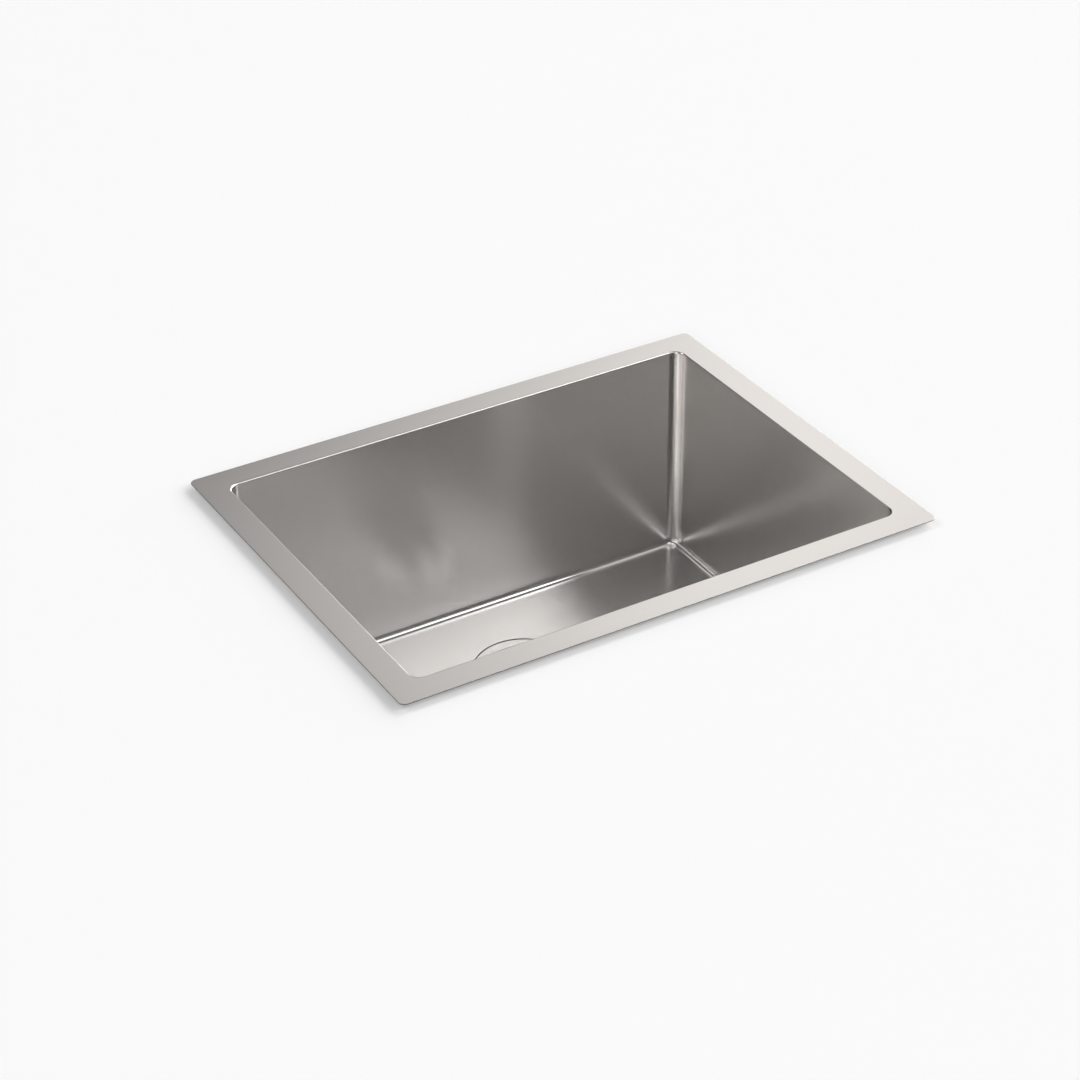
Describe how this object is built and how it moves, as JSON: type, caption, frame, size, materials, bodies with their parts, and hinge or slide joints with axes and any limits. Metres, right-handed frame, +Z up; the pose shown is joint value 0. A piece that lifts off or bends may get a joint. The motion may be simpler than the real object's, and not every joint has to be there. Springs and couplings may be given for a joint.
{
  "type": "kitchen sink",
  "caption": "Rectangular single-bowl undermount sink in brushed steel: flat rim, straight walls, tight corners and a rear drain with lift-out basket strainer and drop stopper.",
  "frame": {"origin": "middle of the bowl's opening, on the plane of the rim's top face", "axes": "+X to the right along the long side, +Y to the back where the drain is, +Z up out of the bowl"},
  "size_m": [0.6096, 0.4572, 0.3182],
  "materials": {
    "bowl_steel": "satin brushed stainless steel",
    "pad_rubber": "matt rubber sheet",
    "strainer_steel": "drawn stainless steel",
    "seal_rubber": "moulded rubber",
    "fibre_board": "pressed fibre",
    "nut_zinc": "die-cast zinc, bare",
    "bush_plastic": "moulded nylon",
    "knob_chrome": "polished plating",
    "stopper_rubber": "moulded rubber",
    "nut_brass": "turned brass"
  },
  "bodies": {
    "sink": {"bowl_shell": "bowl_steel", "wall_pad_front": "pad_rubber", "wall_pad_back": "pad_rubber", "wall_pad_left": "pad_rubber", "wall_pad_right": "pad_rubber", "base_pad_left": "pad_rubber", "base_pad_right": "pad_rubber", "base_pad_front": "pad_rubber", "strainer_body": "strainer_steel", "strainer_outlet": "nut_brass", "flange_seal": "seal_rubber", "under_washer": "seal_rubber", "friction_ring": "fibre_board", "strainer_locknut": "nut_zinc"},
    "basket": {"basket_cup": "strainer_steel", "hub_bush": "bush_plastic"},
    "stopper": {"post": "strainer_steel", "knob": "knob_chrome", "stopper_seal": "stopper_rubber", "stopper_washer": "strainer_steel", "stopper_nut": "nut_brass"}
  },
  "joints": [
    {"name": "basket_lift", "type": "slide", "parent": "sink", "child": "basket", "axis": [0, 0, 1], "range_m": [0, 0.33]},
    {"name": "stopper_raise", "type": "slide", "parent": "basket", "child": "stopper", "axis": [0, 0, 1], "range_m": [0, 0.009]}
  ]
}
